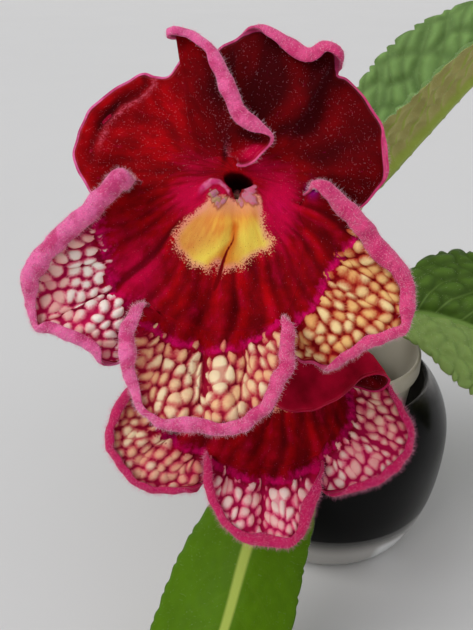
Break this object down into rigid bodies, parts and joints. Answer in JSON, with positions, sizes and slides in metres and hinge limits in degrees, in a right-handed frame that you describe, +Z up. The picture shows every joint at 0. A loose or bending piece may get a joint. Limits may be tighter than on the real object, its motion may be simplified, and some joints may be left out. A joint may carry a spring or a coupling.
{
  "type": "potted cape primrose",
  "caption": "Potted cape primrose: ruffled red blooms with rolled pink hems, pebbled cream lobes and yellow throats, strap leaves, a grey growing pot in a round smoked-glass jar.",
  "frame": {"origin": "centre of the jar's flat foot, on the table", "axes": "+Z up along the jar's axis, +X to the right as seen from the front, +Y away from the front"},
  "size_m": [0.1787, 0.2224, 0.1879],
  "materials": {
    "jar_glass": "gloss",
    "pot_plastic": "satin",
    "soil": "matte",
    "leaf": "satin",
    "stalk": "satin",
    "petal": "matte",
    "pistil": "satin"
  },
  "bodies": {
    "root": {"glass_jar": "jar_glass", "nursery_pot": "pot_plastic", "potting_soil": "soil", "leaf_right": "leaf", "leaf_upright": "leaf", "leaf_front": "leaf", "leaf_left": "leaf", "leaf_back": "leaf", "flower_stalk_1": "stalk", "flower_stalk_2": "stalk", "corolla_1": "petal", "corolla_2": "petal", "pistil_1": "pistil", "pistil_2": "pistil"}
  },
  "joints": []
}
